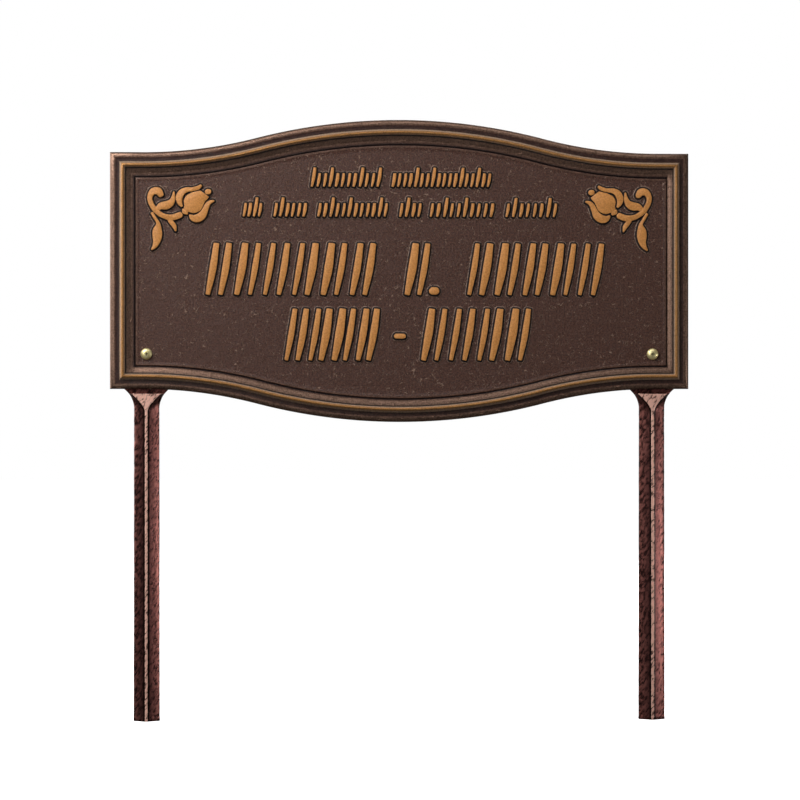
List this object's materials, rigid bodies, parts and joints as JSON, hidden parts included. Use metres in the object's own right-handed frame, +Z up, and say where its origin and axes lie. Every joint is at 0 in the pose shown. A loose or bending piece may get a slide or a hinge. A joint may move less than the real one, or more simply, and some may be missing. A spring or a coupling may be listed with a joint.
{
  "type": "memorial plaque",
  "caption": "Cast memorial lawn plaque with ogee top and bottom edges, a moulded frame, raised strokes and tulip sprays, screwed to ridged stakes cut flat at the ground.",
  "frame": {"origin": "on the ground, midway between the stakes, in the plane of the plaque's flat back", "axes": "+Z up along the stakes, +X to the right as seen from the front, the front faces -Y"},
  "size_m": [0.4, 0.0138, 0.4152],
  "materials": {
    "plaque": "satin",
    "stakes": "satin",
    "screws": "polished"
  },
  "bodies": {
    "root": {"plaque": "plaque", "left_stake": "stakes", "right_stake": "stakes", "left_screw": "screws", "right_screw": "screws"}
  },
  "joints": []
}
